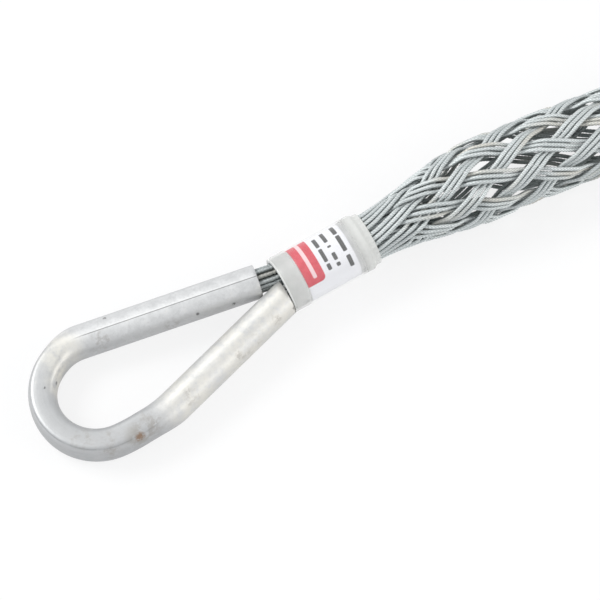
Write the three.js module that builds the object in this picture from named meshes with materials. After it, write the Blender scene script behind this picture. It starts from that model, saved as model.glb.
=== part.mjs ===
// Cable pulling grip: a woven wire mesh that slips over a cable end, gathered in a
// ferrule, with a bent tube eye to pull on. It lies on its side, as it does on a bench.
// Millimetres, +Z up, mesh along +X, origin at the middle of the footprint.
import * as THREE from 'three';

// Wire rope and bands
const ropeDiameter = 2;
const ropesPerBand = 3;
const bandsPerHand = 8;
const crossingClearance = 0.35;
const crossingMargin = 0.02; // radians that a band stays level past its crossing

// Woven mesh
const meshDiameter = 38.6; // outside, slack
const meshLead = 250; // length of one full turn of a band
const crossingRows = 30; // rows from the mouth to the bights of the tail
const firstRow = 12.8; // from the mouth of the sleeve
const taperLength = 58;
const mouthBandSpread = 0.27; // radians, half of a band where it leaves the sleeve
const bightRadius = 4.6;
const bightSteps = 7;
const tailDrop = 0.3; // how much deeper the inner bands of the last row lie
const twist = 22; // degrees that the slack mesh is turned along twistLength
const twistLength = 110;
const weaveTurn = 10; // degrees that the whole weave is turned on its axis

// Bend of the mesh behind the ferrule
const bendLength = 130;
const bendSwing = 8.2; // degrees from the mesh to the ferrule, seen from above
const bendPull = 45; // how far the ferrule's direction carries into the bend

// Eye tube
const tubeDiameter = 15.9;
const tubeWall = 1.5;
const tubeSides = 20;
const eyeRadius = 25.8; // of the tube's middle line
const eyeCentre = 95.6; // from the ferrule's face to the middle of the bend
const eyeOffset = 2.6; // the bend lies this far to one side
const slackRadius = 80; // where the bend runs out into the second leg
const slackAngle = 265; // degrees, where that begins
const eyePitch = 3.3; // degrees that the eye slopes down to the floor
const flatDepth = 2.8; // the outer wall of the bend is pressed in by this
const flatSpread = 0.04; // share that the tube widens there
const flatCorner = 0.35; // 1 keeps the outer wall round, less squares it
const flatRun = 0.16; // share of the bend over which it flattens
const bendSteps = 28;
const ropeRidges = 5; // ropes seen round the bundle in the tube
const ropeGroove = 0.4; // depth between them
const openTubeGap = 8; // the second end stops this far short of the ferrule

// Ferrule, sleeve and label
const ferruleLength = 41;
const ferruleWall = 0.8;
const gatherDiameter = 22.6; // of the gathered ropes
const collarLength = 4;
const collarStep = 1.8; // past the ferrule, where the sleeve is down on the ropes
const sleeveWall = 0.7;
const labelThickness = 0.2;
const labelStart = 9;
const labelLength = 25.5;
const gatherDepth = 14; // where eye ropes end and mesh ropes begin
const roundSides = 40;

// Fits
const seatClearance = 0.3;
const wrapClearance = 0.12;

const ropeFinish = { color: 0xc3c9cb, roughness: 0.45, metalness: 0.85 };
const tubeFinish = { color: 0xc9cccc, roughness: 0.38, metalness: 0.9 };
const ferruleFinish = { color: 0xb4b7b8, roughness: 0.4, metalness: 0.9 };
const sleeveFinish = { color: 0xe6e8e6, roughness: 0.3, metalness: 0 };
const labelFinish = { color: 0xf2f2f4, roughness: 0.5, metalness: 0 };

const { degToRad } = THREE.MathUtils;
const ease = (t) => THREE.MathUtils.smoothstep(t, 0, 1);
const mix = THREE.MathUtils.lerp;

function piece(name, geometry, finish) {
  const mesh = new THREE.Mesh(geometry, new THREE.MeshStandardMaterial(finish));
  mesh.name = name;
  return mesh;
}

// Closed body from points and triangles, turned to face out
function body(points, triangles) {
  let volume = 0;
  for (const [a, b, c] of triangles) {
    volume += points[a].dot(new THREE.Vector3().crossVectors(points[b], points[c]));
  }
  const facing = volume < 0 ? triangles.map(([a, b, c]) => [a, c, b]) : triangles;
  const geometry = new THREE.BufferGeometry().setFromPoints(points);
  geometry.setIndex(facing.flat());
  geometry.computeVertexNormals();
  return geometry;
}

// Triangles between two rings of points, from their first numbers and their count.
// cross(j) picks the other diagonal of face j.
function band(first, second, count, cross = () => false) {
  const triangles = [];
  for (let j = 0; j < count; j += 1) {
    const next = (j + 1) % count;
    const [a, b, c, d] = [first + j, first + next, second + next, second + j];
    if (cross(j)) triangles.push([a, b, d], [b, c, d]);
    else triangles.push([a, b, c], [a, c, d]);
  }
  return triangles;
}

function fan(centre, ring, count) {
  const triangles = [];
  for (let j = 0; j < count; j += 1) {
    triangles.push([centre, ring + ((j + 1) % count), ring + j]);
  }
  return triangles;
}

// Solid along rings of points, closed at both ends
function loft(rings, cross) {
  const count = rings[0].length;
  const points = rings.flat();
  const last = (rings.length - 1) * count;
  const triangles = [];
  for (let k = 0; k + 1 < rings.length; k += 1) {
    triangles.push(...band(k * count, (k + 1) * count, count, (j) => cross?.(k, j)));
  }
  for (const ring of [0, last]) {
    const middle = new THREE.Vector3();
    for (let j = 0; j < count; j += 1) middle.addScaledVector(points[ring + j], 1 / count);
    points.push(middle);
    const cap = fan(points.length - 1, ring, count);
    triangles.push(...(ring === 0 ? cap : cap.map(([a, b, c]) => [a, c, b])));
  }
  return body(points, triangles);
}

// Pipe from outer and inner rings, open right through
function pipe(outer, inner) {
  const count = outer[0].length;
  const rings = outer.length;
  const points = [...outer.flat(), ...inner.flat()];
  const bore = rings * count;
  const triangles = [];
  for (let k = 0; k + 1 < rings; k += 1) {
    const [here, next] = [k * count, (k + 1) * count];
    triangles.push(...band(here, next, count));
    triangles.push(...band(bore + next, bore + here, count));
  }
  const last = (rings - 1) * count;
  triangles.push(...band(bore, 0, count));
  triangles.push(...band(last, bore + last, count));
  return body(points, triangles);
}

// Ring turned about X from a closed outline of [along, radius] points
function turned(outline) {
  const closed = [...outline, outline[0]].reverse();
  const profile = closed.map(([along, radius]) => new THREE.Vector2(radius, along));
  const geometry = new THREE.LatheGeometry(profile, roundSides);
  geometry.rotateZ(-Math.PI / 2);
  return geometry;
}

// Radii of what is wrapped round the gathered ropes, from the inside out
const gatherRadius = gatherDiameter / 2;
const ferruleBore = gatherRadius + seatClearance;
const ferruleRadius = ferruleBore + ferruleWall;
const labelBore = ferruleRadius + wrapClearance;
const labelRadius = labelBore + labelThickness;
const sleeveBore = labelRadius + wrapClearance;
const sleeveRadius = sleeveBore + sleeveWall;
const collarBore = ferruleBore;
const mouth = ferruleLength + collarLength;

// The pressed ferrule, with its corners broken
function ferrule() {
  const corner = ferruleWall / 3;
  const outline = [
    [0, ferruleBore],
    [ferruleLength, ferruleBore],
    [ferruleLength, ferruleRadius - corner],
    [ferruleLength - corner, ferruleRadius],
    [corner, ferruleRadius],
    [0, ferruleRadius - corner],
  ];
  return turned(outline);
}

function label() {
  const end = labelStart + labelLength;
  return turned([
    [labelStart, labelBore],
    [end, labelBore],
    [end, labelRadius],
    [labelStart, labelRadius],
  ]);
}

// Shrunk sleeve: it is snug on the ferrule and pulls down onto the ropes as a collar
function sleeve() {
  const lip = sleeveWall / 2;
  const collarRadius = collarBore + sleeveWall;
  return turned([
    [0, sleeveBore],
    [ferruleLength + seatClearance, sleeveBore],
    [ferruleLength + collarStep, collarBore],
    [mouth, collarBore],
    [mouth, collarRadius - lip],
    [mouth - lip, collarRadius],
    [ferruleLength + collarStep + lip, collarRadius],
    [ferruleLength, sleeveRadius],
    [lip, sleeveRadius],
    [0, sleeveRadius - lip],
  ]);
}

// Middle line of the eye, seen from above with the ferrule along X and its face at 0:
// two straight legs that leave the ferrule side by side and touch the bend. The bend is
// a round arc and, towards the second leg, a slack one that runs on from it.
const legOffset = ferruleBore / 2;
const flatVector = (angle, length) => (
  new THREE.Vector2(Math.cos(angle), Math.sin(angle)).multiplyScalar(length)
);
const roundCentre = new THREE.Vector2(-eyeCentre, -eyeOffset);
const slackStart = degToRad(slackAngle);
const slackCentre = roundCentre.clone().add(flatVector(slackStart, eyeRadius - slackRadius));

// Where a leg touches an arc, as an angle at the arc's middle
function touchAngle(side, centre, radius) {
  const reach = centre.clone().sub(new THREE.Vector2(0, side * legOffset));
  return reach.angle() + Math.PI + side * Math.acos(radius / reach.length());
}

const roundArc = {
  centre: roundCentre,
  radius: eyeRadius,
  from: touchAngle(1, roundCentre, eyeRadius) - 2 * Math.PI,
  to: slackStart,
};
const slackArc = {
  centre: slackCentre,
  radius: slackRadius,
  from: slackStart,
  to: touchAngle(-1, slackCentre, slackRadius),
};
const arcRun = (arc) => arc.radius * (arc.to - arc.from);
const roundShare = arcRun(roundArc) / (arcRun(roundArc) + arcRun(slackArc));

// A place on the middle line: its point, the way out of the loop, and how flat it is
function bendPlace(share) {
  const inRound = share < roundShare;
  const arc = inRound ? roundArc : slackArc;
  const along = inRound ? share / roundShare : (share - roundShare) / (1 - roundShare);
  const out = flatVector(mix(arc.from, arc.to, along), 1);
  const point = arc.centre.clone().addScaledVector(out, arc.radius);
  return {
    point: new THREE.Vector3(point.x, point.y, 0),
    out: new THREE.Vector3(out.x, out.y, 0),
    flat: ease(share / flatRun) * ease((1 - share) / flatRun),
  };
}

function legPlace(side, distance) {
  const end = bendPlace(side > 0 ? 0 : 1);
  const root = new THREE.Vector3(0, side * legOffset, 0);
  const along = end.point.clone().sub(root).normalize();
  return { point: root.addScaledVector(along, distance), out: end.out, flat: 0 };
}

const gatherPlace = (side, along) => ({
  point: new THREE.Vector3(along, side * legOffset, 0),
  out: new THREE.Vector3(0, side, 0),
  flat: 0,
});

const bendPlaces = Array.from({ length: bendSteps + 1 }, (_, k) => bendPlace(k / bendSteps));

// Ring round a place of the eye, this far inside the tube's outer face. The outer half
// of the section is pressed in where the tube is flat. lobe(t) waves the ring.
function eyeRing(place, inset, lobe = () => 0) {
  const half = tubeDiameter / 2;
  const squash = mix(1, flatCorner, place.flat);
  const ring = [];
  for (let j = 0; j < tubeSides; j += 1) {
    const t = (2 * Math.PI * j) / tubeSides;
    const depth = inset + lobe(t);
    const pressed = Math.cos(t) > 0 ? flatDepth * place.flat : 0;
    const across = Math.sign(Math.cos(t)) * Math.abs(Math.cos(t)) ** squash;
    const outward = (half - pressed - depth) * across;
    const up = (half * (1 + flatSpread * place.flat) - depth) * Math.sin(t);
    ring.push(place.point.clone().addScaledVector(place.out, outward).setZ(up));
  }
  return ring;
}

// The tube: one end stands open, short of the ferrule, and the other is against it
const slant = Math.abs(bendPlace(1).out.x) * (tubeDiameter / 2);
const tubePlaces = [
  legPlace(1, openTubeGap),
  ...bendPlaces,
  legPlace(-1, slant + seatClearance),
];

function eyeTube() {
  return pipe(
    tubePlaces.map((place) => eyeRing(place, 0)),
    tubePlaces.map((place) => eyeRing(place, tubeWall)),
  );
}

// The ropes go through the tube side by side and on into the ferrule
function eyeRopes() {
  const inset = tubeWall + seatClearance;
  const wave = (t) => ropeGroove * (1 - Math.abs(Math.cos((t * ropeRidges) / 2)));
  const squeeze = tubeDiameter / 2 - inset - (legOffset - seatClearance);
  const squeezed = (t) => squeeze + wave(t);
  const end = gatherDepth - seatClearance;
  const inFerrule = (side) => [end, 0].map((along) => gatherPlace(side, along));
  const rings = [
    ...inFerrule(1).map((place) => eyeRing(place, inset, squeezed)),
    ...tubePlaces.map((place) => eyeRing(place, inset, wave)),
    ...inFerrule(-1).reverse().map((place) => eyeRing(place, inset, squeezed)),
  ];
  return loft(rings);
}

// The head slopes down from the sleeve until the far end of the eye lies on the floor
const pitch = degToRad(eyePitch);
const swing = degToRad(bendSwing);
const head = new THREE.Group();
const eyeEnd = eyeCentre + eyeRadius;
const eyeHalfHeight = (tubeDiameter / 2) * (1 + flatSpread);
const headHeight = eyeHalfHeight * Math.cos(pitch) + eyeEnd * Math.sin(pitch);
head.rotation.set(0, -pitch, swing, 'ZYX');
head.add(
  piece('eye_tube', eyeTube(), tubeFinish),
  piece('eye_ropes', eyeRopes(), ropeFinish),
  piece('ferrule', ferrule(), ferruleFinish),
  piece('label', label(), labelFinish),
  piece('clear_sleeve', sleeve(), sleeveFinish),
);

// Middle line of the mesh: out of the sleeve's mouth in the ferrule's direction, round a
// gentle bend, and straight on along X with its underside on the floor
const headAxis = new THREE.Vector3(1, 0, 0).applyEuler(head.rotation);
const bendEnd = new THREE.Vector3(0, 0, meshDiameter / 2);
const mouthPoint = new THREE.Vector3(
  -bendLength,
  -bendLength * Math.tan(swing / 2),
  headHeight + mouth * Math.sin(pitch),
);
const bend = new THREE.CubicBezierCurve3(
  mouthPoint,
  mouthPoint.clone().addScaledVector(headAxis, bendPull),
  bendEnd.clone().setX(-bendLength / 2),
  bendEnd,
);
const bendRun = bend.getLength();
head.position.copy(mouthPoint).addScaledVector(headAxis, -mouth);

// Cross-section of the mesh at a distance from the mouth: its middle, up and left
function station(s) {
  const share = THREE.MathUtils.clamp(s / bendRun, 0, 1);
  const along = bend.getTangentAt(share);
  const middle = bend.getPointAt(share).addScaledVector(along, s - share * bendRun);
  const left = new THREE.Vector3(0, 0, 1).cross(along).normalize();
  const up = along.clone().cross(left);
  return { middle, left, up };
}

// Radius of the weave's middle surface, halfway through its two layers
const layerRise = (ropeDiameter + crossingClearance) / 2;
const weaveRadius = meshDiameter / 2 - layerRise - ropeDiameter / 2;
const mouthRadius = gatherRadius - layerRise - ropeDiameter / 2;
const taper = (s) => ease(s / taperLength);
const radiusAt = (s) => mix(mouthRadius, weaveRadius, taper(s));

// The two hands of bands wind round against each other. A band's own angle stays the
// same along it, and winding(s) carries it left or right round the mesh.
const windingRate = (2 * Math.PI) / meshLead;
const bandPitch = (2 * Math.PI) / bandsPerHand;
const winding = (s) => bandPitch / 2 + windingRate * (s - firstRow);
const windingPlace = (angle) => firstRow + (angle - bandPitch / 2) / windingRate;
const turnAt = (s) => degToRad(weaveTurn + twist * ease(s / twistLength));

const bandWidth = ropesPerBand * ropeDiameter;
const weaveSlope = Math.atan(windingRate * weaveRadius);
const fullSpread = bandWidth / 2 / (weaveRadius * Math.cos(weaveSlope));
const spreadAt = (s) => mix(mouthBandSpread, fullSpread, taper(s));

// Point of the weave: distance from the mouth, angle round the mesh and radius
function weavePoint(s, angle, radius) {
  const { middle, left, up } = station(s);
  const around = angle + turnAt(Math.max(s, 0));
  return middle
    .addScaledVector(up, radius * Math.cos(around))
    .addScaledVector(left, radius * Math.sin(around));
}

// Section of a band from its inner to its outer edge, each edge a place and an angle
function bandSection(inner, outer, lift) {
  const half = ropeDiameter / 2;
  const corner = (edge, side) => {
    const radius = radiusAt(edge.s) + lift + side * half;
    return weavePoint(edge.s, edge.angle, radius);
  };
  return [corner(inner, -1), corner(outer, -1), corner(outer, 1), corner(inner, 1)];
}

// Section that lies along the bands of the other hand, so that a crossing stays level.
// hand is 1 for the bands that wind to the left and -1 for those that wind to the right.
function slantedSection(hand, own, s, lift) {
  const spread = spreadAt(s);
  const lead = spread / 2 / windingRate;
  const angle = own + hand * winding(s);
  const inner = { s: s - lead, angle: angle + (hand * spread) / 2 };
  const outer = { s: s + lead, angle: angle - (hand * spread) / 2 };
  return bandSection(inner, outer, lift);
}

function straightSection(hand, own, s, lift) {
  const spread = spreadAt(s);
  const angle = own + hand * winding(0);
  return bandSection(
    { s, angle: angle + hand * spread },
    { s, angle: angle - hand * spread },
    lift,
  );
}

// Left-winding bands lie outside in the ferrule and at every odd row
const liftAt = (hand, row) => (row % 2 === 1 ? hand : -hand) * layerRise;

// The last row has fewer sections, so its inner bands lie a little deeper
function tailLift(hand) {
  const lift = liftAt(hand, crossingRows - 1);
  return lift < 0 ? lift - tailDrop : lift;
}

// One leg of a band from inside the ferrule to its last crossing
function leg(hand, own) {
  const first = liftAt(hand, 1);
  const sections = [
    straightSection(hand, own, gatherDepth - mouth, first),
    straightSection(hand, own, 0, first),
  ];
  for (let row = 1; row < crossingRows; row += 1) {
    const s = windingPlace((row * bandPitch) / 2);
    const level = (fullSpread + crossingMargin) / 2 / windingRate;
    const reach = Math.max(level, (spreadAt(s) + crossingMargin) / 2 / windingRate);
    const last = row === crossingRows - 1;
    const lift = last ? tailLift(hand) : liftAt(hand, row);
    sections.push(slantedSection(hand, own, s - reach, lift));
    sections.push(slantedSection(hand, own, last ? s : s + reach, lift));
  }
  return sections;
}

// The bight turns a right-winding leg into the left-winding one that runs back. It is an
// arc on the unrolled mesh, round a middle that lies on the line where the legs meet.
function bight(own) {
  const reach = Math.PI / 2 - weaveSlope;
  const corner = windingPlace((crossingRows * bandPitch) / 2);
  const s0 = corner - bightRadius / Math.sin(weaveSlope);
  const angle0 = own - winding(corner);
  const edge = (turn, radius) => ({
    s: s0 + radius * Math.cos(turn),
    angle: angle0 + (radius * Math.sin(turn)) / weaveRadius,
  });
  const sections = [];
  for (let k = 0; k <= bightSteps; k += 1) {
    const turn = mix(reach, -reach, k / bightSteps);
    const inner = edge(turn, bightRadius - bandWidth / 2);
    const outer = edge(turn, bightRadius + bandWidth / 2);
    const lift = mix(tailLift(-1), tailLift(1), ease(k / bightSteps));
    sections.push(bandSection(inner, outer, lift));
  }
  return sections;
}

// Three ropes side by side: out along one leg, round the bight and back along the other.
// A level face is split along the mesh, which keeps crossing bands parallel.
function strand(number) {
  const own = number * bandPitch;
  const back = own - crossingRows * bandPitch;
  const out = leg(-1, own);
  const rings = [...out, ...bight(own), ...leg(1, back).reverse()];
  return loft(rings, (k, j) => (j === 2) === (k < out.length));
}

const grip = new THREE.Group();
grip.add(head);
for (let number = 0; number < bandsPerHand; number += 1) {
  grip.add(piece(`mesh_strand_${number + 1}`, strand(number), ropeFinish));
}

// Origin at the middle of the footprint
grip.updateMatrixWorld(true);
const box = new THREE.Box3().setFromObject(grip, true);
const middle = box.getCenter(new THREE.Vector3());
grip.position.set(-middle.x, -middle.y, -box.min.z);

export default grip;
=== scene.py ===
# %% [markdown]
# # A cable pulling grip in Blender
# A cable pulling grip is a sleeve of woven wire rope. It slips over the end of a cable,
# and closes on it when it is pulled by its eye. The sizes and the collision model come
# from a CAD part. This script dresses that part: twisted ropes, bent tube, clear film.

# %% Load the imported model
import math
from bisect import bisect_right

import bpy
from mathutils import Euler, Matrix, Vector


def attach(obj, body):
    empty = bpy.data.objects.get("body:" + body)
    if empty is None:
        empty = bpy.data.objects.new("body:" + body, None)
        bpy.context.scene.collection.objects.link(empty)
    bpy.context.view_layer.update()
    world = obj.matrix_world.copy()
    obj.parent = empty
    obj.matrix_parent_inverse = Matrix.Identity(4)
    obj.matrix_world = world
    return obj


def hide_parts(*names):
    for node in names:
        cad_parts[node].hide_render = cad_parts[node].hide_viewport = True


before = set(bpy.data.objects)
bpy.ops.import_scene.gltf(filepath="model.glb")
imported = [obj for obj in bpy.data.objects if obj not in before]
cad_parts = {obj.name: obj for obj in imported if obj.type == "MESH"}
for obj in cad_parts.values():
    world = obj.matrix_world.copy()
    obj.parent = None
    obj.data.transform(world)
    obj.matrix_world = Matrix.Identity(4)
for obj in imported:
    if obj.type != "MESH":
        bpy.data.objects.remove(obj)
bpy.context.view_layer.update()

# %% [markdown]
# ## Sizes
# All lengths are in metres, and they repeat the CAD part's own sizes, so that each rope
# lies where its solid does. The grip's frame has +X along the mesh and +Z up.

# %% Sizes of the rope, the weave and the bend
MM = 0.001
rope_diameter = 2 * MM
ropes_per_band = 3
strands = 8
mesh_diameter = 38.6 * MM
mesh_lead = 250 * MM
rows = 30
first_row = 12.8 * MM
taper_length = 58 * MM
bight_radius = 4.6 * MM
crossing_gap = 0.35 * MM
layer_rise = (rope_diameter + crossing_gap) / 2
# The weave is turned about its axis, and some way further behind the ferrule
weave_turn = math.radians(10)
slack_turn = math.radians(22)
slack_length = 110 * MM
bend_length = 130 * MM
bend_pull = 45 * MM
swing = math.radians(8.2)
pitch = math.radians(3.3)
# The straight mesh starts here, which puts the middle of the footprint at the origin
mesh_start = Vector((-15.8865, 21.7565, 0)) * MM
trim = 0.12 * MM  # keeps the tube and the bights inside the CAD box
print(f"mesh {1000 * mesh_diameter:.1f} mm across, {strands * ropes_per_band} ropes each way")

# %% Sizes of the eye, the ferrule and what is wrapped round it
tube_diameter = 15.9 * MM
tube_wall = 1.5 * MM
eye_radius = 25.8 * MM
eye_centre = 95.6 * MM
eye_offset = 2.6 * MM
slack_radius = 80 * MM
slack_start = math.radians(265)
# The flat on the outside of the bend: how deep, how much wider and how square it makes
# the tube, and the share of the bend in which it comes and goes
flat_depth = 2.8 * MM
flat_spread = 0.04
flat_corner = 0.35
flat_run = 0.16
open_gap = 8 * MM
seat = 0.3 * MM
wrap = 0.12 * MM
gather_radius = 11.3 * MM
ferrule_length = 41 * MM
ferrule_wall = 0.8 * MM
join_depth = 12 * MM  # where the eye's ropes and the mesh's ropes meet, out of sight
label_start = 9 * MM
label_end = 34.5 * MM
label_thickness = 0.2 * MM
sleeve_wall = 0.7 * MM
collar_length = 4 * MM
collar_step = 1.8 * MM
mouth = ferrule_length + collar_length
ferrule_bore = gather_radius + seat
ferrule_radius = ferrule_bore + ferrule_wall
label_bore = ferrule_radius + wrap
label_radius = label_bore + label_thickness
sleeve_bore = label_radius + wrap
sleeve_radius = sleeve_bore + sleeve_wall
print(f"sleeve {2000 * sleeve_radius:.1f} mm across")


# %% [markdown]
# ## Helpers for meshes
# Most pieces are rings of points joined into a skin. One helper joins them, and another
# one makes the object, which stays at the origin with its place in its mesh.

# %% Mesh helpers
def ease(t):
    """Soft step from 0 to 1."""
    t = min(max(t, 0), 1)
    return t * t * (3 - 2 * t)


def mix(a, b, t):
    """a where t is 0 and b where it is 1."""
    return a + (b - a) * t


def skin(rings, closed=False):
    """Points and faces through rings of equal count. closed joins the last to the first."""
    count = len(rings[0])
    points = [p for ring in rings for p in ring]
    faces = []
    for k in range(len(rings) if closed else len(rings) - 1):
        here, there = k * count, (k + 1) % len(rings) * count
        for j in range(count):
            n = (j + 1) % count
            faces.append((here + j, here + n, there + n, there + j))
    return points, faces


def make_piece(name, points, faces):
    mesh = bpy.data.meshes.new(name)
    mesh.from_pydata([tuple(p) for p in points], [], faces)
    mesh.validate()
    mesh.polygons.foreach_set("use_smooth", [True] * len(mesh.polygons))
    piece = bpy.data.objects.new(name, mesh)
    bpy.context.scene.collection.objects.link(piece)
    return piece


def keep(piece, attribute, values, kind="FLOAT"):
    """Stores one value for each point, for the materials to read."""
    layer = piece.data.attributes.new(attribute, kind, "POINT")
    field = "value" if kind == "FLOAT" else "vector"
    numbers = values if kind == "FLOAT" else [c for v in values for c in v]
    layer.data.foreach_set(field, numbers)


def hand_over(piece, node):
    """The piece rides with the part and stands for its CAD node."""
    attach(piece, "root")
    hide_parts(node)
    print(f"{piece.name}: {len(piece.data.polygons)} faces for {node}")


# %% [markdown]
# ## Maths in node trees
# A material is a sum of small masks: a groove here, a scuff there. Nodes could be placed
# and linked one by one, but as Python expressions they stay readable. Wire wraps a socket,
# and its operators add Math nodes. Nodes adds any other node to a tree, so it serves the
# geometry of the ropes too. Finish is one material.

# %% One socket
class Wire:
    def __init__(self, nodes, socket):
        self.nodes = nodes
        self.socket = socket

    def maths(self, operation, *terms):
        return self.nodes.node("ShaderNodeMath", {"operation": operation}, *terms)

    def __add__(self, other):
        return self.maths("ADD", self, other)

    def __sub__(self, other):
        return self.maths("SUBTRACT", self, other)

    def __rsub__(self, other):
        return self.maths("SUBTRACT", other, self)

    def __mul__(self, other):
        return self.maths("MULTIPLY", self, other)

    def __truediv__(self, other):
        return self.maths("DIVIDE", self, other)

    __radd__ = __add__
    __rmul__ = __mul__

    def size(self):
        return self.maths("ABSOLUTE", self)

    def larger(self, other):
        return self.maths("MAXIMUM", self, other)

    def rise(self, low, high):
        """0 below low, 1 above high and a smooth step between. It falls if low > high."""
        settings = {"interpolation_type": "SMOOTHSTEP"}
        return self.nodes.node("ShaderNodeMapRange", settings, self, low, high, 0.0, 1.0)


# %% Any node tree
class Nodes:
    def __init__(self, tree):
        self.tree = tree

    def put(self, socket, value):
        if isinstance(value, Wire):
            self.tree.links.new(value.socket, socket)
        else:
            socket.default_value = value

    def node(self, kind, settings, *values, output=0, **named):
        """A node with its settings, then its inputs in order or by name."""
        node = self.tree.nodes.new(kind)
        for setting, value in settings.items():
            setattr(node, setting, value)
        for socket, value in zip(node.inputs, values):
            self.put(socket, value)
        for name, value in named.items():
            self.put(node.inputs[name.replace("_", " ")], value)
        return Wire(self, node.outputs[output])

    def distance(self, first, second):
        settings = {"operation": "DISTANCE"}
        return self.node("ShaderNodeVectorMath", settings, first, second, output="Value")


# %% One material
class Finish(Nodes):
    def __init__(self, name, **values):
        self.material = bpy.data.materials.new(name)
        self.material.use_nodes = True
        super().__init__(self.material.node_tree)
        self.shader = self.tree.nodes["Principled BSDF"]
        self.set(**values)

    def attribute(self, name, output="Fac"):
        return self.node("ShaderNodeAttribute", {"attribute_name": name}, output=output)

    def place(self, scale=(1, 1, 1), turn=(0, 0, 0)):
        spot = self.node("ShaderNodeTexCoord", {}, output="Object")
        return self.node("ShaderNodeMapping", {}, spot, Scale=scale, Rotation=turn)

    def noise(self, vector, scale, detail=3.0, roughness=0.5):
        return self.node("ShaderNodeTexNoise", {}, Vector=vector, Scale=scale,
                         Detail=detail, Roughness=roughness)

    def blend(self, factor, first, second):
        """The first colour where the factor is 0, and the second where it is 1."""
        mixer = self.tree.nodes.new("ShaderNodeMix")
        mixer.data_type = "RGBA"
        for number, value in zip((0, 6, 7), (factor, first, second)):
            self.put(mixer.inputs[number], value)
        return Wire(self, mixer.outputs[2])

    def vector(self, x, y, z):
        return self.node("ShaderNodeCombineXYZ", {}, x, y, z)

    def near(self, spot, radius):
        """1 at a spot of the object and 0 beyond a radius round it."""
        place = self.node("ShaderNodeTexCoord", {}, output="Object")
        return self.distance(place, spot).rise(radius, radius * 0.35)

    def marks(self, spots):
        """Mask of soft round marks, each a place on the object and a radius."""
        mask = 0.0
        for spot, radius in spots:
            mask = self.near(spot, radius) + mask
        return mask

    def bump(self, height, distance, strength=1.0):
        return self.node("ShaderNodeBump", {}, Strength=strength, Distance=distance,
                         Height=height)

    def set(self, **values):
        for name, value in values.items():
            self.put(self.shader.inputs[name.replace("_", " ")], value)
        return self.material


def grey(level, warmth=0.0):
    """A grey as linear red, green and blue. Warmth above 0 yellows it, below 0 blues it."""
    return (level * (1 + warmth), level, level * (1 - warmth), 1.0)


# %% [markdown]
# ## Galvanised rope
# Zinc on fine wire is a matte, bluish silver. The grooves between the strands are darkened
# as painted shade, which reads as dark lines. The side that faces into the mesh gets
# painted shade too, and here and there a rope has a creamy stain. A picture could carry
# all this, but it would stretch at the bends. The ropes carry attributes instead, such as
# the way along and the groove, so the pattern follows each rope wherever it goes.

# %% Rope finish
rope = Finish("galvanised rope", Metallic=0.4)
along = rope.attribute("along")
groove = rope.attribute("groove")
facing = rope.attribute("facing")
tone = rope.attribute("tone")
stretch = rope.noise(rope.vector(along * 16, tone * 90, 0.0), 1.0, 2.0)
stain = stretch.rise(0.54, 0.66)
wire_turn = 4300  # radians a metre, so a wire shows every 1.5 mm of a strand
wires = rope.node("ShaderNodeMath", {"operation": "SINE"}, along * wire_turn + groove * 2.5)
zinc = rope.blend(tone, (0.76, 0.80, 0.80, 1.0), (0.88, 0.92, 0.92, 1.0))
zinc = rope.blend(stain * 0.7, zinc, (0.82, 0.77, 0.68, 1.0))
# painted shade in the grooves between the strands
groove_shade = groove.rise(0.25, 1.0) * 0.62
# painted shade on the side of each rope that faces into the mesh
inside = facing.rise(0.40, -0.40) * 0.78
open_end = (-0.1950, 0.0114, 0.0150)  # the gap where the bundle shows, which is darker
# painted shade on the ropes in the gap at the open end, a recess inside the tube
gap_shade = rope.near(open_end, 0.011) * 0.55
# the zinc with the painted shade of the grooves, the inner sides and the gap
shaded_zinc = rope.blend(groove_shade.larger(inside).larger(gap_shade), zinc, (0.13, 0.155, 0.155, 1.0))
rope_material = rope.set(
    Base_Color=rope.blend(wires.rise(0.2, -0.9) * 0.28, shaded_zinc, (0.30, 0.34, 0.34, 1.0)),
    Roughness=0.50 + stretch * 0.16,
    Normal=rope.bump(wires, 0.00006, 0.6),
)
print("rope finish has", len(rope.tree.nodes), "nodes")

# %% [markdown]
# ## Galvanised tube
# The eye is a welded steel tube, bent cold. Its zinc is nearly white, with cloudy spots
# and fine draw lines along it. The weld is a thin line on the first leg. The bend has
# flattened the outer wall, and there the whole tube is darker. Noise alone would look the
# same everywhere, so the draw lines, the weld and the flat read attributes of the tube:
# the way along it, the side that a point is on, and how flat it is.

# %% Zinc coat of the tube
tube = Finish("galvanised tube")
tube_along = tube.attribute("along")
tube_side = tube.attribute("side", "Vector")
side_x = tube.node("ShaderNodeSeparateXYZ", {}, tube_side)
side_y = tube.node("ShaderNodeSeparateXYZ", {}, tube_side, output=1)
flat = tube.attribute("flat")
upper = side_y.rise(0.0, 0.2)
drawn = tube.noise(
    tube.vector(tube_along * 12, side_x * 26, side_y * 26), 1.0, 4.0, 0.6)
clouds = tube.noise(tube.place(), 170.0, 6.0, 0.70)
fine = tube.noise(tube.place(), 620.0, 3.0, 0.6)
zinc_coat = tube.blend(clouds.rise(0.30, 0.70), grey(0.64, -0.006), grey(0.76, -0.004))
# the tube is darker along the bend, where it is flat
zinc_coat = tube.blend(flat * 0.75, zinc_coat, grey(0.44, -0.015))
# painted shade: a dark line along the crease of the flat wall, broken up by noise
crease_shade = (side_x - 0.42).size().rise(0.12, 0.0) * flat * upper
crease_shade = crease_shade * drawn.rise(0.30, 0.60) * clouds.rise(0.32, 0.60)
zinc_coat = tube.blend(crease_shade * 0.8, zinc_coat, grey(0.28, -0.02))
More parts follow.
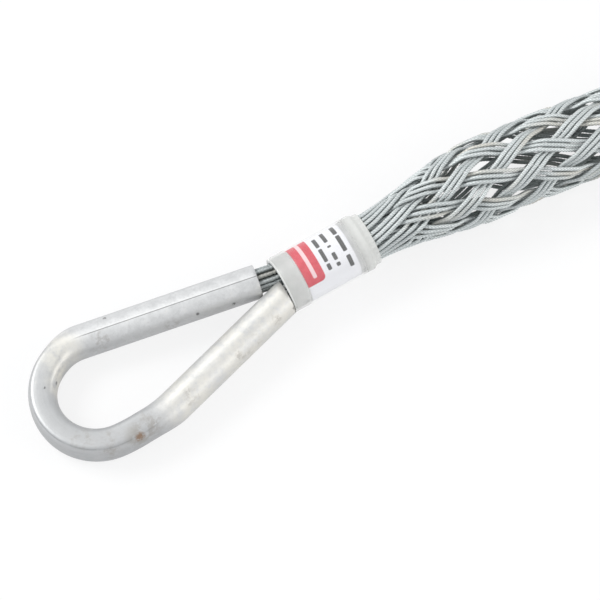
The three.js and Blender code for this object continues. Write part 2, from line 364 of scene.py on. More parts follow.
# painted shade: the tube darkens towards its inner and outer sides, broken up by the clouds
side_shade = side_x.size().rise(0.58, 0.98) * clouds.rise(0.20, 0.60)
zinc_coat = tube.blend(side_shade * 0.55, zinc_coat, grey(0.36, -0.015))
zinc_coat = tube.blend(fine.rise(0.48, 0.66) * 0.16, zinc_coat, grey(0.42))
zinc_coat = tube.blend(drawn.rise(0.5, 0.75) * 0.35, zinc_coat, grey(0.60, -0.01))
warm = clouds.rise(0.58, 0.74) * fine.rise(0.4, 0.6)
zinc_coat = tube.blend(warm * 0.35, zinc_coat, grey(0.76, 0.06))
print("zinc coat has", len(tube.tree.nodes), "nodes")

# %% [markdown]
# ## Marks on the tube
# The zinc has its marks: a fleck of rust with a soiled ring on the outer wall, a few dark
# specks, brownish scuffs and creamy areas. They could be painted by hand. Here each is a
# soft round mask at its place on the tube, broken up by the noises above, so that no edge
# looks drawn and each mark can be moved by itself.

# %% Places of the marks
rust_spot = (-0.2750, -0.0394, 0.0164)
specks = [
    ((-0.2696, 0.0196, 0.0173), 0.0011),
    ((-0.2301, 0.0064, 0.0167), 0.0011),
    ((-0.2133, 0.0051, 0.0164), 0.0012),
    ((-0.3000, -0.0004, 0.0130), 0.0013),
    ((-0.3063, -0.0017, 0.0166), 0.0009),
]
smears = [
    ((-0.2891, -0.0364, 0.0174), 0.008),
    ((-0.2998, -0.0310, 0.0170), 0.007),
    ((-0.2690, -0.0369, 0.0183), 0.010),
    ((-0.2896, -0.0405, 0.0124), 0.008),
    ((-0.1997, -0.0103, 0.0201), 0.005),
    ((-0.2099, -0.0150, 0.0194), 0.006),
    ((-0.2179, -0.0200, 0.0171), 0.007),
    ((-0.2472, -0.0304, 0.0183), 0.006),
    ((-0.2756, 0.0103, 0.0166), 0.007),
    ((-0.2424, 0.0063, 0.0144), 0.005),
]
creams = [
    ((-0.1922, -0.0060, 0.0214), 0.020),
    ((-0.2180, -0.0180, 0.0190), 0.024),
    ((-0.2472, -0.0290, 0.0185), 0.020),
    ((-0.2932, 0.0110, 0.0170), 0.014),
    ((-0.2990, -0.0010, 0.0120), 0.010),
]
print(len(specks), "specks,", len(smears), "smears and", len(creams), "creamy areas")

# %% Masks of the marks
speck_mask = tube.marks(specks)
smear_mask = tube.marks(smears) * clouds.rise(0.40, 0.68) * fine.rise(0.32, 0.62)
cream_mask = tube.marks(creams) * clouds.rise(0.25, 0.60)
rust = tube.near(rust_spot, 0.0034) * fine.rise(0.30, 0.50)
rust_ring = tube.near(rust_spot, 0.0095) * clouds.rise(0.40, 0.54)
first_leg = tube_along.rise(0.090, 0.078)
weld = (side_x + 0.05).size().rise(0.035, 0.012) * upper
weld = weld * first_leg * fine.rise(0.15, 0.30)
# painted highlight: a light line along the weld on the first leg
weld_highlight = (side_x - 0.03).size().rise(0.07, 0.02) * upper
weld_highlight = weld_highlight * tube_along.rise(0.090, 0.07)
print("with its marks the tube has", len(tube.tree.nodes), "nodes")

# %% Tube finish
colour = tube.blend(cream_mask * 0.55, zinc_coat, (0.80, 0.77, 0.69, 1.0))
colour = tube.blend(weld * 0.75, colour, grey(0.22))
colour = tube.blend(weld_highlight * 0.35, colour, grey(0.92))
colour = tube.blend(smear_mask * 0.65, colour, grey(0.30, 0.08))
colour = tube.blend(speck_mask * fine.rise(0.35, 0.5) * 0.85, colour, grey(0.10))
colour = tube.blend(rust_ring * 0.55, colour, (0.30, 0.28, 0.25, 1.0))
colour = tube.blend(rust * 0.85, colour, (0.24, 0.14, 0.075, 1.0))
tube_material = tube.set(
    Base_Color=colour,
    Metallic=0.6 - rust * 0.5 - speck_mask * 0.3,
    Roughness=0.42 + clouds * 0.14 + rust * 0.3,
    Normal=tube.bump(drawn * 0.5 + fine * 0.5 - weld, 0.0002, 0.55),
)
print("tube finish has", len(tube.tree.nodes), "nodes")

# %% [markdown]
# ## Ferrule, label and clear sleeve
# The ferrule is satin steel. A printed label is wrapped round it, and a clear shrink
# sleeve holds both. The sleeve is milky at its ends and nearly clear over the label, with
# faint ripples. The label keeps its colours as plain fields: a red block with round
# corners and rows of grey bars. A picture would need its own map, so they are drawn from
# two attributes, the distance along the ferrule and the way round it.

# %% Ferrule finish
pressed = Finish("satin ferrule steel", Metallic=0.85)
brushed = pressed.noise(pressed.place((900, 60, 60)), 1.0, 3.0)
pressed_dull = pressed.noise(pressed.place(), 130.0, 3.0)
pressed_material = pressed.set(
    Base_Color=pressed.blend(pressed_dull, grey(0.62), grey(0.74)),
    Roughness=0.34 + brushed * 0.2,
    Normal=pressed.bump(brushed, 0.00005, 0.4),
)
print("ferrule finish has", len(pressed.tree.nodes), "nodes")

# %% Label finish
label = Finish("printed label", Roughness=0.42, Coat_Weight=0.25, Coat_Roughness=0.2)
print_along = label.attribute("along")
print_round = label.attribute("round")
print_blur = 0.15 * MM


def field(low, high, start, end, corner):
    """A block on the label between two distances and two angles, as a soft mask."""
    half_length, half_round = (high - low) / 2, (end - start) / 2 * label_radius
    x = (print_along - (low + high) / 2).size() - (half_length - corner)
    y = ((print_round - (start + end) / 2) * label_radius).size() - (half_round - corner)
    x, y = x.larger(0.0), y.larger(0.0)
    reach = x * x + y * y
    return reach.rise((corner + print_blur) ** 2, (corner - print_blur) ** 2)


# %% Print and finish of the label
bar_rows = [  # from and to along the ferrule in mm, and the angles of each bar
    (20.6, 22.4, [(-0.70, -0.46), (-0.38, 0.14), (0.22, 0.72)]),
    (25.0, 26.8, [(-0.72, -0.58), (-0.48, -0.20), (0.02, 0.10), (0.26, 0.84)]),
    (30.4, 32.4, [(-0.98, -0.52), (-0.36, 0.30), (0.38, 0.92)]),
]
red_block = field(6.0 * MM, 18.2 * MM, -0.92, 2.6, 2.2 * MM)
bars = 0.0
for low, high, spans in bar_rows:
    for start, end in spans:
        bars = field(low * MM, high * MM, start, end, 0.5 * MM) + bars
stripe = field(12.9 * MM, 14.7 * MM, -0.70, 1.3, 0.6 * MM)
smudge = label.noise(label.place(), 400.0, 3.0)
paper = label.blend(smudge, (0.78, 0.78, 0.81, 1.0), (0.85, 0.85, 0.88, 1.0))
ink = label.blend(smudge.rise(0.3, 0.7), (0.60, 0.045, 0.075, 1.0), (0.68, 0.07, 0.10, 1.0))
printed = label.blend(red_block, paper, ink)
printed = label.blend(stripe * red_block * 0.8, printed, (0.88, 0.74, 0.76, 1.0))
label_material = label.set(
    Base_Color=label.blend(bars * 0.95, printed, grey(0.035)),
    Normal=label.bump(smudge, 0.00003, 0.4),
)
print("label finish has", len(label.tree.nodes), "nodes")

# %% Clear film finish
film = Finish("clear shrink film", Roughness=0.32, Coat_Weight=0.15, Coat_Roughness=0.2)
film_along = film.attribute("along")
ripples = film.noise(film.place(), 240.0, 3.0, 0.55)
milky = film_along.rise(0.0345, 0.040)  # past the label, up to the collar
milky = milky.larger(film_along.rise(0.0095, 0.0080) * 0.45)  # before the label
milky = milky.larger(film_along.rise(0.0012, 0.0002))  # the cut edge
film_material = film.set(
    Base_Color=film.blend(ripples, (0.76, 0.77, 0.75, 1.0), (0.86, 0.86, 0.84, 1.0)),
    Alpha=0.03 + milky * 0.60 + ripples * 0.03,
    Normal=film.bump(ripples, 0.0004, 0.5),
)
print("film finish has", len(film.tree.nodes), "nodes")

# %% [markdown]
# ## Where the pieces lie
# The head, which is the eye and the ferrule, is swung and pitched a little, so that the
# far end of the eye rests on the floor. The mesh leaves the head on a gentle bend and
# then runs straight. A table of the bend by its length turns a distance from the mouth
# into a place.

# %% The head and the middle line of the mesh
head_turn = Euler((0, -pitch, swing), "XYZ")
head_axis = Vector((1, 0, 0))
head_axis.rotate(head_turn)
eye_half = tube_diameter / 2 * (1 + flat_spread)
head_height = eye_half * math.cos(pitch) + (eye_centre + eye_radius) * math.sin(pitch)
mouth_point = Vector((
    -bend_length,
    -bend_length * math.tan(swing / 2),
    head_height + mouth * math.sin(pitch),
))
head_place = mouth_point - head_axis * mouth
bend_end = Vector((0, 0, mesh_diameter / 2))
pulls = [
    mouth_point,
    mouth_point + head_axis * bend_pull,
    Vector((-bend_length / 2, 0, bend_end.z)),
    bend_end,
]


def in_head(point):
    """A point given by the ferrule's axis and face, in the frame of the part."""
    placed = Vector(point)
    placed.rotate(head_turn)
    return placed + head_place + mesh_start


def bend_point(t):
    """Place on the bend, a cubic curve with four pulls."""
    u = 1 - t
    weights = (u * u * u, 3 * u * u * t, 3 * u * t * t, t * t * t)
    return sum((p * w for p, w in zip(pulls, weights)), Vector())


steps = 400
bend_table = [bend_point(k / steps) for k in range(steps + 1)]
bend_runs = [0.0]
for first, second in zip(bend_table, bend_table[1:]):
    bend_runs.append(bend_runs[-1] + (second - first).length)
print(f"head at {head_place}, bend {1000 * bend_runs[-1]:.1f} mm long")


def station(s):
    """Middle, up and left of the mesh at a distance from the mouth."""
    if s <= 0:
        middle, direction = mouth_point + head_axis * s, head_axis
    elif s >= bend_runs[-1]:
        middle = bend_end + Vector((s - bend_runs[-1], 0, 0))
        direction = Vector((1, 0, 0))
    else:
        k = min(bisect_right(bend_runs, s), steps) - 1
        share = (s - bend_runs[k]) / (bend_runs[k + 1] - bend_runs[k])
        middle = bend_table[k].lerp(bend_table[k + 1], share)
        before, after = bend_table[max(k - 1, 0)], bend_table[min(k + 2, steps)]
        direction = (after - before).normalized()
    left = Vector((0, 0, 1)).cross(direction).normalized()
    return middle + mesh_start, direction.cross(left), left


# %% [markdown]
# ## The route of one rope
# Eight bands wind to the left and eight to the right, and each band is three ropes side
# by side. At every row a left-winding band goes over a right-winding one or under it.
# A rope's height is a soft square wave of the row that it is at, which keeps it level at
# its crossings and lets it swap layers between them. At the tail each band turns back in
# a round bight and becomes a band of the other hand. A rule gives all 24 ropes, and no
# point is placed by eye.

# %% Weave rules
rate = 2 * math.pi / mesh_lead
band_pitch = 2 * math.pi / strands
weave_radius = mesh_diameter / 2 - layer_rise - rope_diameter / 2
mouth_radius = gather_radius - layer_rise - rope_diameter / 2
slope = math.atan(rate * weave_radius)
full_gap = rope_diameter / (weave_radius * math.cos(slope))
mouth_gap = 0.222  # radians between neighbouring ropes where they leave the sleeve
mouth_ease = 6 * MM
# How long a band stays level before and after a crossing, as a share of a row
mouth_level = 0.34
full_level = 0.25
print(f"bands climb round the mesh at {math.degrees(slope):.1f} degrees")


def taper(s):
    """0 at the ferrule and 1 where the mesh has its full width."""
    return ease(s / taper_length)


def gap_at(s):
    """Angle between neighbouring ropes of a band."""
    return mix(mouth_gap, full_gap, taper(s))


def wound(s):
    """How far a band has wound at a distance from the mouth. It starts off straight."""
    if s < mouth_ease:
        s = max(s + mouth_ease, 0) ** 2 / (4 * mouth_ease)
    return band_pitch / 2 + rate * (s - first_row)


def layer(hand, row, level):
    """-1 for the inner layer and 1 for the outer one, level for a while at each row."""
    nearest = round(row)
    away = row - nearest
    swap = ease((abs(away) - level) / (1 - 2 * level))
    here = 1 if nearest % 2 else -1
    return hand * here * (1 - 2 * swap)


def weave_point(s, angle, radius):
    """Place on the weave, and the middle of the mesh there."""
    middle, up, left = station(s)
    around = angle + weave_turn + slack_turn * ease(max(s, 0) / slack_length)
    out = up * math.cos(around) + left * math.sin(around)
    return middle + out * radius, middle


# %% Route of one rope
fold_run = (rows * band_pitch / 2 - band_pitch / 2) / rate + first_row
fold_s = fold_run - bight_radius / math.sin(slope)
turn_out = math.pi / 2 - slope
leg_step = 1.6 * MM
leg_start = join_depth - mouth
bight_steps = 16
last_row = rows - 1
loose_share = 0.05  # how far apart loose ropes stand, as a share of their spacing
loose_length = 9 * MM
loose_fade = 20 * MM
loose_end = 12 * MM  # this far before the bight


def looseness(s, own, hand):
    """Ropes of a band stand a little apart here and there, but not at the bights."""
    loose = loose_share * ease((fold_s - loose_end - s) / loose_fade)
    return 1 + loose * (1 + math.sin(s / loose_length + 5 * own + hand))


def leg_point(hand, own, offset, s):
    """Place of a rope of a band, offset -1, 0 or 1, at a distance from the mouth."""
    lag = offset * gap_at(s) * looseness(s, own, hand)
    angle = own + hand * (wound(s) + lag)
    row = (wound(s) + lag / 2) / (band_pitch / 2)
    row = min(max(row, 1), last_row)
    level = mix(mouth_level, full_level, taper(s))
    lift = layer(hand, row, level) * layer_rise
    radius = mix(mouth_radius, weave_radius, taper(s)) + lift
    return weave_point(s, angle, radius)


def rope_route(number, offset):
    """Out along the right-winding leg, round the bight and back along the other."""
    own = number * band_pitch
    back = own - rows * band_pitch
    radius = bight_radius + offset * rope_diameter
    arc_start = fold_s + (radius - trim) * math.cos(turn_out)
    count = round((arc_start - leg_start) / leg_step)
    distances = [mix(leg_start, arc_start, k / count) for k in range(count)]
    route = [leg_point(-1, own, offset, s) for s in distances]
    arc_angle = own - wound(fold_run)
    inner, outer = (layer(hand, last_row, full_level) for hand in (-1, 1))
    for k in range(bight_steps + 1):
        turn = mix(turn_out, -turn_out, k / bight_steps)
        height = mix(inner, outer, ease(k / bight_steps))
        route.append(weave_point(
            fold_s + (radius - trim) * math.cos(turn),
            arc_angle + radius * math.sin(turn) / weave_radius,
            weave_radius + height * layer_rise,
        ))
    route += [leg_point(1, back, offset, s) for s in reversed(distances)]
    return route


trial = rope_route(0, 1)
trial_length = sum((b[0] - a[0]).length for a, b in zip(trial, trial[1:]))
print(f"one rope: {len(trial)} points, {trial_length:.3f} m")


# %% [markdown]
# ## Laid rope with Geometry Nodes
# A wire rope is strands twisted round each other. Each strand could be a curve of its
# own, at six times the work. Sweeping a lobed ring along the route, with a steady tilt,
# gives the same form, and a node tree does it for any route. Its inputs are the rope's
# diameter, its strands, the length of one turn of the lay, how deep the grooves are, and
# how long the steps are. It stores what the finish reads: the way along, the groove, and
# whether a point faces away from the middle of the mesh.

# %% Inputs of the tree
laid_rope = bpy.data.node_groups.new("laid rope", "GeometryNodeTree")
for name, kind in [
    ("Route", "Geometry"),
    ("Diameter", "Float"),
    ("Strands", "Int"),
    ("Lay length", "Float"),
    ("Groove", "Float"),
    ("Step", "Float"),
    ("Finish", "Material"),
]:
    laid_rope.interface.new_socket(name, in_out="INPUT", socket_type="NodeSocket" + kind)
laid_rope.interface.new_socket("Rope", in_out="OUTPUT", socket_type="NodeSocketGeometry")
lay = Nodes(laid_rope)
entrance = laid_rope.nodes.new("NodeGroupInput")
given = {socket.name: Wire(lay, socket) for socket in entrance.outputs}
print("laid rope asks for", [name for name in given if name])


# %% The route in even steps, with a steady tilt
def stored(geometry, name, kind, value):
    """The geometry with a value for each point under a name."""
    settings = {"data_type": kind, "domain": "POINT"}
    return lay.node("GeometryNodeStoreNamedAttribute", settings,
                    Geometry=geometry, Name=name, Value=value)


line = lay.node("GeometryNodeMeshToCurve", {}, Mesh=given["Route"])
line = lay.node("GeometryNodeResampleCurve", {"mode": "LENGTH"},
                Curve=line, Length=given["Step"])
run = lay.node("GeometryNodeSplineParameter", {}, output="Length")
place = lay.node("GeometryNodeInputPosition", {})
line = lay.node("GeometryNodeSetCurveTilt", {},
                Curve=line, Tilt=run * math.tau / given["Lay length"])
line = stored(line, "along", "FLOAT", run)
line = stored(line, "spine", "FLOAT_VECTOR", place)
print("laid rope tree has", len(laid_rope.nodes), "nodes so far")

# %% The ring, with a lobe for each strand
half = given["Diameter"] / 2.0
ring = lay.node("GeometryNodeCurvePrimitiveCircle", {},
                Resolution=given["Strands"] * 2.0, Radius=half)
index = lay.node("GeometryNodeInputIndex", {})
odd = index.maths("MODULO", index, 2.0)
ring = stored(ring, "groove", "FLOAT", odd)
pressed_ring = lay.node("ShaderNodeVectorMath", {"operation": "SCALE"}, place,
                        Scale=1.0 - odd * given["Groove"])
ring = lay.node("GeometryNodeSetPosition", {}, Geometry=ring, Position=pressed_ring)
print("with the ring it has", len(laid_rope.nodes), "nodes")

# %% Sweep the ring along the line
# Facing runs from -1, towards the middle of the mesh, to 1, away from it
middle, spine = (
    lay.node("GeometryNodeInputNamedAttribute", {"data_type": "FLOAT_VECTOR"}, Name=name)
    for name in ("middle", "spine")
)
swept = lay.node("GeometryNodeCurveToMesh", {},
                 Curve=line, Profile_Curve=ring, Fill_Caps=True)
reach = lay.distance(place, middle) - lay.distance(spine, middle)
swept = stored(swept, "facing", "FLOAT", reach / half)
swept = lay.node("GeometryNodeSetShadeSmooth", {}, Geometry=swept)
swept = lay.node("GeometryNodeRealizeInstances", {}, Geometry=swept)
swept = lay.node("GeometryNodeSetMaterial", {}, Geometry=swept, Material=given["Finish"])
way_out = laid_rope.nodes.new("NodeGroupOutput")
lay.put(way_out.inputs[0], swept)
print("laid rope tree has", len(laid_rope.nodes), "nodes in all")

# %% From routes to ropes
laid_share = 0.99  # keeps the ropes a hair apart, and inside the CAD box
rope_strands = 6
lay_length = 9 * MM
groove_depth = 0.16
shade_step = 0.618  # ropes side by side get shades that are far apart


def lay_ropes(name, routes, tones, step):
    """One piece with a rope along each route. A route is a list of (point, middle)."""
    points, edges, middles, shades = [], [], [], []
    for route, shade in zip(routes, tones):
        first = len(points)
        for point, middle in route:
            points.append(point)
            middles.append(middle)
            shades.append(shade)
        edges += [(k, k + 1) for k in range(first, len(points) - 1)]
    mesh = bpy.data.meshes.new(name + " routes")
    mesh.from_pydata([tuple(p) for p in points], edges, [])
    carrier = bpy.data.objects.new(name + " routes", mesh)
    bpy.context.scene.collection.objects.link(carrier)
    keep(carrier, "middle", middles, "FLOAT_VECTOR")
    keep(carrier, "tone", shades)
    modifier = carrier.modifiers.new("rope", "NODES")
    modifier.node_group = laid_rope
    inputs = {
        "Diameter": laid_share * rope_diameter,
        "Strands": rope_strands,
        "Lay length": lay_length,
        "Groove": groove_depth,
        "Step": step,
        "Finish": rope_material,
    }
    for item in laid_rope.interface.items_tree:
        if item.in_out == "INPUT" and item.name in inputs:
            modifier[item.identifier] = inputs[item.name]
    evaluated = carrier.evaluated_get(bpy.context.evaluated_depsgraph_get())
    plain = bpy.data.meshes.new_from_object(evaluated)
    bpy.data.objects.remove(carrier)
    piece = bpy.data.objects.new(name, plain)
    bpy.context.scene.collection.objects.link(piece)
    return piece


# %% [markdown]
# ## The woven mesh
# Such a mesh is usually laced from long ropes that turn back at the tail. Every strand is
# one piece here: three ropes that go out, round a bight at the tail, and back. The whole
# mesh could be one object, but then no single strand could be picked out. As it is, each
# piece stands for the plain ribbon of its own CAD node.

# %% Lay the mesh
mesh_step = 0.8 * MM
for number in range(strands):
    routes = [rope_route(number, offset) for offset in (-1, 0, 1)]
    first = number * ropes_per_band
    tones = [(first + k) * shade_step % 1 for k in range(ropes_per_band)]
    piece = lay_ropes(f"laid_strand_{number + 1}", routes, tones, mesh_step)
    hand_over(piece, f"mesh_strand_{number + 1}")


# %% [markdown]
# ## The eye
# Seen from above, the eye is two straight legs that leave the ferrule side by side, a
# round bend, and a slacker arc that runs out into the second leg. A curve could be drawn
# by eye. Arcs are used instead, since bending tools make arcs, and legs that touch them
# leave no kink. The same middle line serves the tube and the ropes inside it.

# %% Middle line of the eye
def flat_vector(angle, length=1.0):
    return Vector((math.cos(angle), math.sin(angle), 0)) * length


leg_offset = ferrule_bore / 2
round_centre = Vector((-eye_centre, -eye_offset, 0))
slack_centre = round_centre + flat_vector(slack_start, eye_radius - slack_radius)


def touch_angle(side, centre, radius):
    """Angle on an arc where the leg on this side runs into it."""
    reach = centre - Vector((0, side * leg_offset, 0))
    angle = math.atan2(reach.y, reach.x) % math.tau
    return angle + math.pi + side * math.acos(radius / reach.length)


round_from = touch_angle(1, round_centre, eye_radius) - math.tau
slack_to = touch_angle(-1, slack_centre, slack_radius)
round_run = eye_radius * (slack_start - round_from)
slack_run = slack_radius * (slack_to - slack_start)
bend_run = round_run + slack_run


def eye_bend(share):
    """Point, way out of the loop, and flatness at a share of the bend."""
    if share * bend_run < round_run:
        angle = mix(round_from, slack_start, share * bend_run / round_run)
        point = round_centre + flat_vector(angle, eye_radius)
    else:
        angle = mix(slack_start, slack_to, (share * bend_run - round_run) / slack_run)
        point = slack_centre + flat_vector(angle, slack_radius)
    flat = ease(share / flat_run) * ease((1 - share) / flat_run)
    return point, flat_vector(angle), flat


def eye_leg(side, distance):
    """The same three for a leg, at a distance from the ferrule."""
    point, out, _ = eye_bend(0 if side > 0 else 1)
    root = Vector((0, side * leg_offset, 0))
    direction = (point - root).normalized()
    return root + direction * distance, out, 0.0


def leg_length(side):
    point, _, _ = eye_bend(0 if side > 0 else 1)
    return (point - Vector((0, side * leg_offset, 0))).length


def eye_places(first_cut, last_cut, step):
    """Places from the open end of the tube, round the bend and back to the ferrule."""
    places = []
    near, far = leg_length(1), leg_length(-1)
    count = round((near - first_cut) / step)
    places += [eye_leg(1, mix(first_cut, near, k / count)) for k in range(count)]
    count = round(bend_run / step)
    places += [eye_bend(k / count) for k in range(count)]
    count = round((far - last_cut) / step)
    places += [eye_leg(-1, mix(far, last_cut, k / count)) for k in range(count + 1)]
    return places


print(f"legs {1000 * leg_length(1):.1f} and {1000 * leg_length(-1):.1f} mm, "
      f"bend {1000 * bend_run:.1f} mm")


# %% [markdown]
# ## The tube
# A tube bent without a mandrel goes flat on the outside of the bend and a little wider.
# A curve with a round bevel has one section all the way, so rings are joined instead.
# Each is a circle whose outer half is pressed in and squared where the tube is flat. The
# open end shows its wall and a broken edge, so the ropes are seen to go in. The other end
# is cut flush with the ferrule.

# %% Rings of the tube
tube_sides = 72
tube_radius = tube_diameter / 2 - trim
tube_step = 1.6 * MM
edge = 0.25 * MM
leg_way = (eye_leg(-1, 1.0)[0] - eye_leg(-1, 0.0)[0]).normalized()


def tube_ring(place, inset, cut=None):
    """Ring round a place, this far inside the outer face. A cut slides it along the
    second leg to a plane that is square to the ferrule."""
    point, out, flat = place
    squash = mix(1, flat_corner, flat)
    ring = []
    for j in range(tube_sides):
        t = math.tau * j / tube_sides
        outer = math.cos(t) > 0
        depth = tube_radius - inset - (flat_depth * flat if outer else 0)
        outward = math.copysign(abs(math.cos(t)) ** squash, math.cos(t)) * depth
        up = (tube_radius * (1 + flat_spread * flat) - inset) * math.sin(t)
        spot = point + out * outward + Vector((0, 0, up))
        if cut is not None:
            spot += leg_way * ((cut - spot.x) / leg_way.x)
        ring.append(in_head(spot))
    return ring


print(f"tube is {2000 * tube_radius:.1f} mm across, in {tube_sides} sides")

# %% Join the rings
tube_end = abs(eye_bend(1)[1].x) * tube_radius + seat
places = eye_places(open_gap, tube_end, tube_step)
sections = [(places[0], edge), (eye_leg(1, open_gap + edge), 0)]
sections += [(place, 0) for place in places[1:]]
sections += [(places[-1], 0, -seat - edge), (places[-1], edge, -seat)]
outer_count = len(sections)
sections += [(places[-1], tube_wall, -seat)]
sections += [(place, tube_wall) for place in reversed(places)]
points, faces = skin([tube_ring(*section) for section in sections], closed=True)
eye = make_piece("bent_tube_eye", points, faces)

# %% What the zinc coat reads of the tube
runs, travelled = [0.0], 0.0
for k in range(1, len(sections)):
    step = (sections[k][0][0] - sections[k - 1][0][0]).length
    travelled += step if k < outer_count else -step
    runs.append(travelled)
turns = [math.tau * j / tube_sides for j in range(tube_sides)]
keep(eye, "along", [run for run in runs for _ in turns])
sides = [(math.cos(t), math.sin(t), 0) for t in turns]
keep(eye, "side", sides * len(runs), "FLOAT_VECTOR")
keep(eye, "flat", [section[0][2] for section in sections for _ in turns])
eye.data.materials.append(tube_material)
hand_over(eye, "eye_tube")

# %% [markdown]
# ## The ropes in the eye
# The mesh ropes run on through the tube as a round bundle: twelve in the outer ring,
# nine inside it and three in the middle. They show only in the gap at the open end, and
# short ends would do there. The whole bundle is laid, since the eye is what they hold.

# %% Where the bundle's ropes lie
# Radius and angle of each rope, the outer ones a little unevenly spaced
bundle = [(1.16 * MM, math.tau * k / 3) for k in range(3)]
bundle += [(2.95 * MM, math.tau * k / 9) for k in range(9)]
bundle += [(4.80 * MM, math.tau * (k + 0.16 * math.sin(5 * k)) / 12) for k in range(12)]
bundle_step = 3 * MM
bundle_rope_step = 2 * MM
pressed_in = 0.55  # share of their way out that ropes lose under the flat wall
eye_line = [(Vector((d, leg_offset, 0)), Vector((0, 1, 0)), 0.0)
            for d in (join_depth, join_depth / 2)]
eye_line += eye_places(0, 0, bundle_step)
eye_line += [(Vector((d, -leg_offset, 0)), Vector((0, -1, 0)), 0.0)
             for d in (join_depth / 2, join_depth)]
print(f"{len(bundle)} ropes through {len(eye_line)} places")

# %% Lay the bundle
bundle_routes = []
for radius, angle in bundle:
    route = []
    for point, out, flat in eye_line:
        outward = radius * math.cos(angle)
        if outward > 0:
            outward *= 1 - pressed_in * flat
        spot = point + out * outward + Vector((0, 0, radius * math.sin(angle)))
        route.append((in_head(spot), in_head(point)))
    bundle_routes.append(route)
bundle_tones = [k * shade_step % 1 for k in range(len(bundle))]
eye_bundle = lay_ropes("eye_bundle", bundle_routes, bundle_tones, bundle_rope_step)
hand_over(eye_bundle, "eye_ropes")


# %% [markdown]
# ## Ferrule, label and sleeve
# The ferrule is pressed on, the label is wrapped round it, and the clear sleeve is shrunk
# over both and down onto the ropes. All three are turned forms: an outline swung round
# the ferrule's axis. A Screw modifier does that too, but here each point also gets the
# way along and the way round, and the sleeve ripples where it has shrunk over the ropes.

# %% Swing an outline round the axis
def turned(name, outline, sides, ripple=lambda along, angle: 0.0):
    """Ring swung from a closed outline of (along, radius), with its attributes."""
    rings, runs, rounds = [], [], []
    for along, radius in outline:
        ring = []
        for j in range(sides):
            angle = math.tau * j / sides
            r = radius + ripple(along, angle)
            ring.append(in_head((along, r * math.sin(angle), r * math.cos(angle))))
            runs.append(along)
            rounds.append((angle + math.pi) % math.tau - math.pi)
        rings.append(ring)
    points, faces = skin(rings, closed=True)
    piece = make_piece(name, points, faces)
    keep(piece, "along", runs)
    keep(piece, "round", rounds)
    return piece


ring_steps = 12


def ring_outline(start, end, bore, radius, corner):
    """Outline of a plain ring whose outer edges are rounded by a corner."""
    cut = corner * 0.3
    outline = [
        (start, bore),
        (start, radius - corner),
        (start + cut, radius - cut),
        (start + corner, radius),
    ]
    outline += [(mix(start, end, k / ring_steps), radius) for k in range(1, ring_steps)]
    outline += [
        (end - corner, radius),
        (end - cut, radius - cut),
        (end, radius - corner),
        (end, bore),
    ]
    return outline


# %% Ferrule and label
ferrule_outline = ring_outline(0, ferrule_length, ferrule_bore, ferrule_radius, 0.25 * MM)
ferrule = turned("pressed_ferrule", ferrule_outline, sides=96)
ferrule.data.materials.append(pressed_material)
hand_over(ferrule, "ferrule")
label_outline = ring_outline(label_start, label_end, label_bore, label_radius, 0.04 * MM)
label_ring = turned("label_ring", label_outline, sides=144)
label_ring.data.materials.append(label_material)
hand_over(label_ring, "label")

# %% Clear sleeve
collar_bore = ferrule_bore
collar_radius = collar_bore + sleeve_wall
shoulder_start = ferrule_length - 0.2 * MM
shoulder_end = ferrule_length + collar_step
shoulder_steps = 12
body_steps = 14
body_start = 2 * MM
body_end = 40 * MM
outer_line = [
    (0, sleeve_radius - 0.4 * MM),
    (0.15 * MM, sleeve_radius - 0.12 * MM),
    (0.5 * MM, sleeve_radius),
]
for k in range(body_steps + 1):
    outer_line.append((mix(body_start, body_end, k / body_steps), sleeve_radius))
for k in range(shoulder_steps + 1):
    share = k / shoulder_steps
    radius = mix(sleeve_radius, collar_radius, ease(share))
    outer_line.append((mix(shoulder_start, shoulder_end, share), radius))
outer_line += [
    (mouth - 0.4 * MM, collar_radius),
    (mouth - 0.1 * MM, collar_radius - 0.15 * MM),
    (mouth, collar_radius - 0.35 * MM),
]
inner_line = [
    (mouth, collar_bore),
    (shoulder_end, collar_bore),
    (ferrule_length + seat, sleeve_bore),
    (ferrule_length / 2, sleeve_bore),
    (0, sleeve_bore),
]


def shrink_ripple(along, angle):
    """Ridges over the ropes at the collar, and a slight sag on the ferrule."""
    snug = ease((along - ferrule_length + 0.5 * MM) / (2.5 * MM))
    ridges = 0.12 * MM * snug * math.cos(angle * 24)
    sag = 0.05 * MM * math.cos(angle * 3 + along * 90) * (1 - snug)
    return ridges - abs(sag)


sleeve_outline = outer_line + inner_line
sleeve = turned("shrunk_sleeve", sleeve_outline, sides=192, ripple=shrink_ripple)
sleeve.data.materials.append(film_material)
hand_over(sleeve, "clear_sleeve")

# %% [markdown]
# ## Floor, light and camera
# The grip lies on a plain white floor in soft light, as in a small photo tent. The floor
# shows white to the camera and in reflections, and still takes the grip's shadow. The
# camera looks down steeply through a long lens, so that there is hardly any perspective.
# Lamps could be placed in the part's frame, but a photographer thinks from the camera, so
# they are placed by what is right, up and back for it. The key lamp stands up and to the
# left and lights the outer edge of the bend, and a soft lamp fills in from the right.

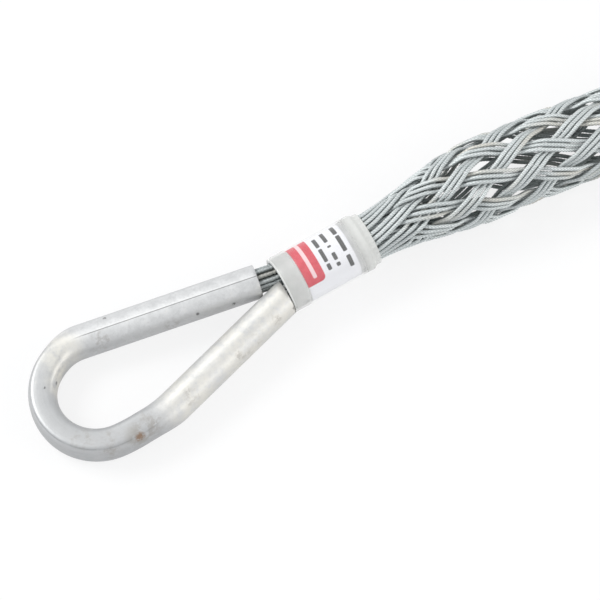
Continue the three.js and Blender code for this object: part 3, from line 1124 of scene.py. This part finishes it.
# %% Floor
floor_size = 14
floor = make_piece("floor", [(x * floor_size, y * floor_size, -0.0004)
                             for x, y in ((-1, -1), (1, -1), (1, 1), (-1, 1))],
                   [(0, 1, 2, 3)])
ground = Finish("white floor", Roughness=0.9)
ground.put(ground.shader.inputs["Base Color"], (0.86, 0.86, 0.87, 1.0))
seen = ground.node("ShaderNodeLightPath", {}, output="Is Camera Ray")
mirrored = ground.node("ShaderNodeLightPath", {}, output="Is Glossy Ray")
passed = ground.node("ShaderNodeLightPath", {}, output="Is Transmission Ray")
glow = ground.node("ShaderNodeEmission", {}, Strength=1.0)
shown = seen.larger(passed).larger(mirrored * 0.6) * 0.80
floor_mix = ground.node("ShaderNodeMixShader", {}, shown,
                        Wire(ground, ground.shader.outputs[0]), glow)
ground.put(ground.tree.nodes["Material Output"].inputs["Surface"], floor_mix)
floor.data.materials.append(ground.material)
print("floor finish has", len(ground.tree.nodes), "nodes")

# %% World
world = bpy.data.worlds.new("photo tent")
bpy.context.scene.world = world
world.use_nodes = True
background = world.node_tree.nodes["Background"]
background.inputs["Color"].default_value = (0.93, 0.95, 0.97, 1.0)
world_strength = 0.72
background.inputs["Strength"].default_value = world_strength
print("world is a plain pale tent at strength", world_strength)

# %% Camera
elevation = math.radians(67)
azimuth = math.radians(21.5)
photo_width = 600
pixels_per_metre = 2237
frame_width = photo_width / pixels_per_metre
lens = 400
sensor = 36
right = Vector((math.cos(azimuth), -math.sin(azimuth), 0))
forward = Vector((math.sin(azimuth), math.cos(azimuth), 0))
up = forward * math.sin(elevation) + Vector((0, 0, math.cos(elevation)))
back = -forward * math.cos(elevation) + Vector((0, 0, math.sin(elevation)))
# The ferrule's face lies a little left of the photo's middle and above it
target = in_head((0, 0, 0)) + right * 8.49 * MM - up * 6.26 * MM
camera_data = bpy.data.cameras.new("camera")
camera_data.lens = lens
camera_data.sensor_width = sensor
camera = bpy.data.objects.new("camera", camera_data)
camera.location = target + back * (frame_width * lens / sensor)
camera.rotation_euler = (-back).to_track_quat("-Z", "Y").to_euler()
camera_data.clip_end = 100
bpy.context.scene.collection.objects.link(camera)
bpy.context.scene.camera = camera
bpy.context.scene.view_settings.view_transform = "Standard"
print(f"camera {(camera.location - target).length:.2f} m from the grip")

# %% Lamps
def lamp(name, place, aim, size, power, colour):
    light = bpy.data.lights.new(name, "AREA")
    light.shape = "RECTANGLE"
    light.size, light.size_y = size
    light.energy = power
    light.color = colour
    holder = bpy.data.objects.new(name, light)
    holder.location = place
    holder.rotation_euler = (aim - place).to_track_quat("-Z", "Y").to_euler()
    bpy.context.scene.collection.objects.link(holder)


for name, aside, lift, away, size, power, colour in [
    ("key lamp", -1.20, 0.90, 1.00, (0.9, 0.7), 19, (1.0, 0.99, 0.97)),
    ("side lamp", 1.4, 0.1, 0.7, (1.2, 1.2), 10, (1.0, 0.98, 0.95)),
    ("cool lamp", -1.2, 0.2, 0.9, (1.0, 1.0), 2, (0.90, 0.96, 1.0)),
]:
    place = target + right * aside + up * lift + back * away
    lamp(name, place, target, size, power, colour)
    print(f"{name}: {power} W, {(place - target).length:.2f} m away")
